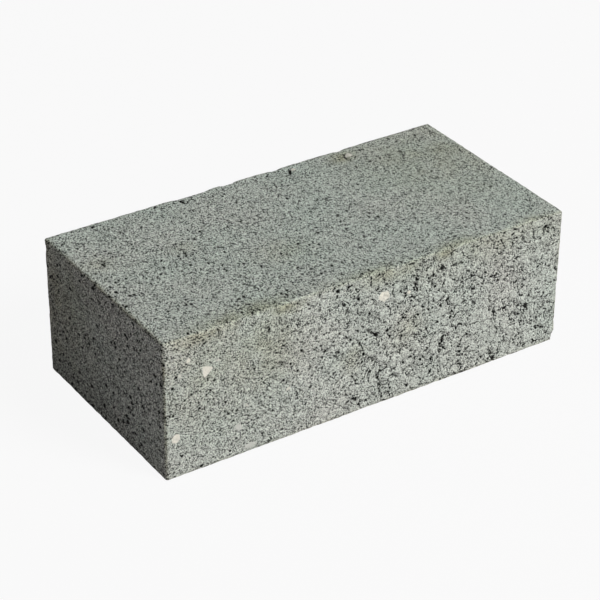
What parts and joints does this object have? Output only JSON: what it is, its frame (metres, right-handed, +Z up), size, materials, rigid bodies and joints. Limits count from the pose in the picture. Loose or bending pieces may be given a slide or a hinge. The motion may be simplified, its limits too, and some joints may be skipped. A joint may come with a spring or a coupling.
{
  "type": "concrete brick",
  "caption": "Solid rectangular concrete brick with flat bed faces, slightly eased arrises and a few chipped edges, laid in mortar or dry as a masonry unit.",
  "frame": {"origin": "centre of the lower bed face, on the surface that the brick lies on", "axes": "+X along the brick's length, +Y across its width towards the chipped back arris, +Z up through its height"},
  "size_m": [0.23, 0.115, 0.076],
  "materials": {
    "concrete": "matt, open-textured pressed concrete with sand grain, small dark pits and a few pale stones"
  },
  "bodies": {
    "root": {"concrete_brick": "concrete"}
  },
  "joints": []
}
